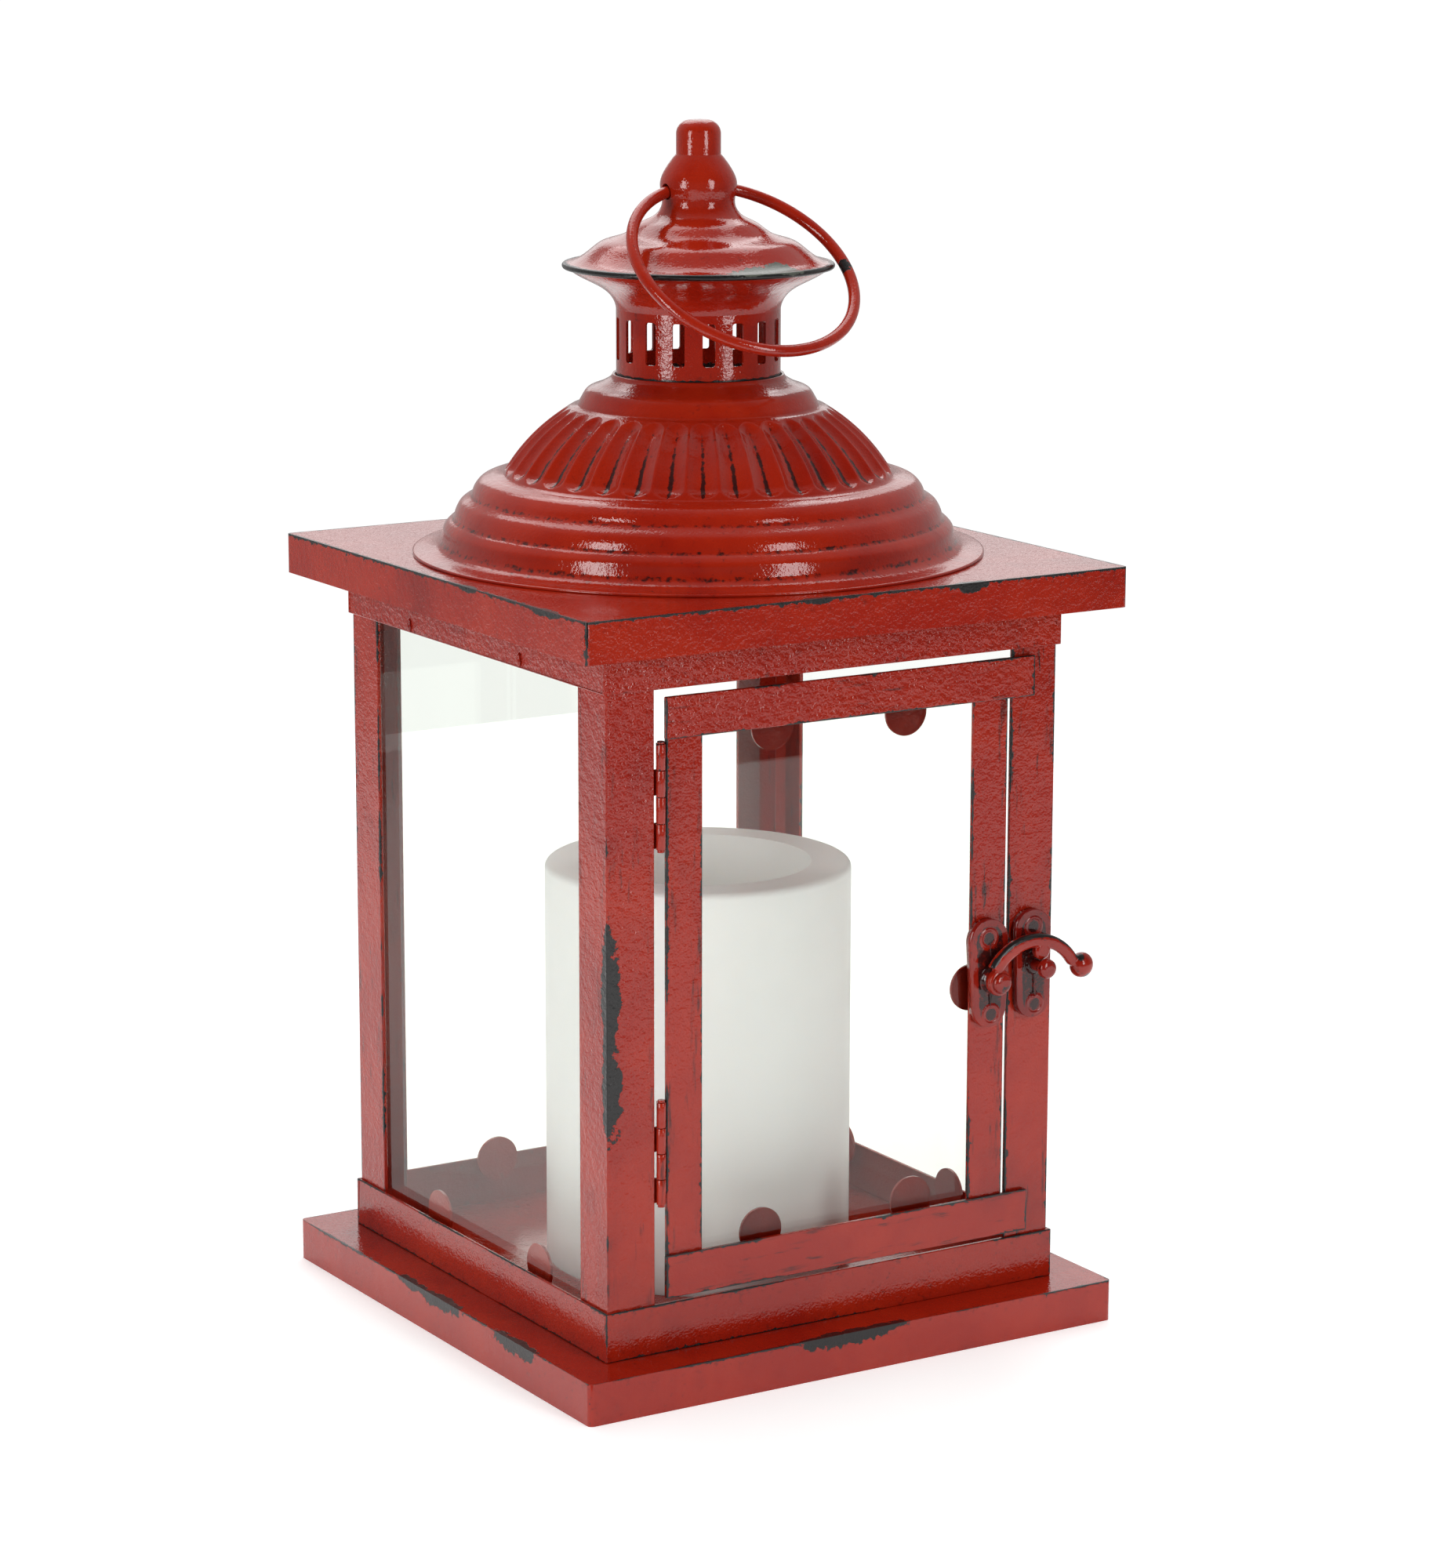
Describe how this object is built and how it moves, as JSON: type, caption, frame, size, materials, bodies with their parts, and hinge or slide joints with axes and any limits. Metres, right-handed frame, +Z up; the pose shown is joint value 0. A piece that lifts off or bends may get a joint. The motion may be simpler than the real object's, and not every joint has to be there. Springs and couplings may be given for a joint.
{
  "type": "lantern",
  "caption": "Square enamelled metal lantern with a glazed hinged door, hook latch, fluted chimney roof, hanging ring and flameless pillar candle.",
  "frame": {"origin": "centre of the base, on the plane that it stands on", "axes": "+Z up; the door faces -Y, its hinges are on -X and its latch on +X"},
  "size_m": [0.1686, 0.1686, 0.3308],
  "materials": {
    "red_enamel": "glossy brick-red enamel, worn black along its edges",
    "clear_glass": "clear",
    "white_wax": "smooth frosted wax",
    "white_plastic": "moulded",
    "flame_diffuser": "frosted",
    "battery_jacket": "printed sleeve, plain",
    "nickel_contacts": "nickel plated",
    "board": "solder mask",
    "black_plastic": "moulded"
  },
  "bodies": {
    "lantern_body": {"base_tray": "red_enamel", "roof_plate": "red_enamel", "lower_band": "red_enamel", "upper_band": "red_enamel", "post_front_left": "red_enamel", "post_front_right": "red_enamel", "post_back_left": "red_enamel", "post_back_right": "red_enamel", "glass_left": "clear_glass", "glass_right": "clear_glass", "glass_back": "clear_glass", "glass_tabs_left": "red_enamel", "glass_tabs_right": "red_enamel", "glass_tabs_back": "red_enamel", "upper_hinge_frame_leaf": "red_enamel", "upper_hinge_pin": "red_enamel", "lower_hinge_frame_leaf": "red_enamel", "lower_hinge_pin": "red_enamel", "keeper_plate": "red_enamel", "keeper_rivets": "red_enamel", "keeper_pin": "red_enamel", "roof_dome": "red_enamel", "vent_tube": "red_enamel", "chimney_cap": "red_enamel", "finial_knob": "red_enamel"},
    "door": {"door_stile_hinge": "red_enamel", "door_stile_latch": "red_enamel", "door_rail_top": "red_enamel", "door_rail_bottom": "red_enamel", "door_glass": "clear_glass", "door_glass_tabs": "red_enamel", "upper_hinge_door_leaf": "red_enamel", "lower_hinge_door_leaf": "red_enamel", "latch_plate": "red_enamel", "latch_rivets": "red_enamel", "latch_pivot_rivet": "red_enamel"},
    "latch": {"latch_arm": "red_enamel"},
    "ring": {"ring_handle": "red_enamel"},
    "candle": {"candle_shell": "white_wax", "candle_light_cup": "white_plastic", "candle_lamp_bulb": "flame_diffuser", "battery_housing": "white_plastic", "batteries": "battery_jacket", "battery_contacts": "nickel_contacts", "battery_cover": "white_plastic", "circuit_board": "board"},
    "switch": {"switch_slider": "black_plastic"}
  },
  "joints": [
    {"name": "door_swing", "type": "hinge", "parent": "lantern_body", "child": "door", "pos_m": [-0.0546, -0.0712, 0.108], "axis": [0, 0, -1], "range_deg": [0, 130]},
    {"name": "latch_lift", "type": "hinge", "parent": "door", "child": "latch", "pos_m": [0.049, -0.077, 0.1005], "axis": [0, -1, 0], "range_deg": [0, 110]},
    {"name": "ring_swing", "type": "hinge", "parent": "lantern_body", "child": "ring", "pos_m": [0, 0, 0.3118], "axis": [-1, 0, 0], "range_deg": [0, 258]},
    {"name": "candle_lift", "type": "slide", "parent": "lantern_body", "child": "candle", "axis": [0, 0, 1], "range_m": [0, 0.08]},
    {"name": "switch_slide", "type": "slide", "parent": "candle", "child": "switch", "axis": [1, 0, 0], "range_m": [0, 0.004]}
  ]
}
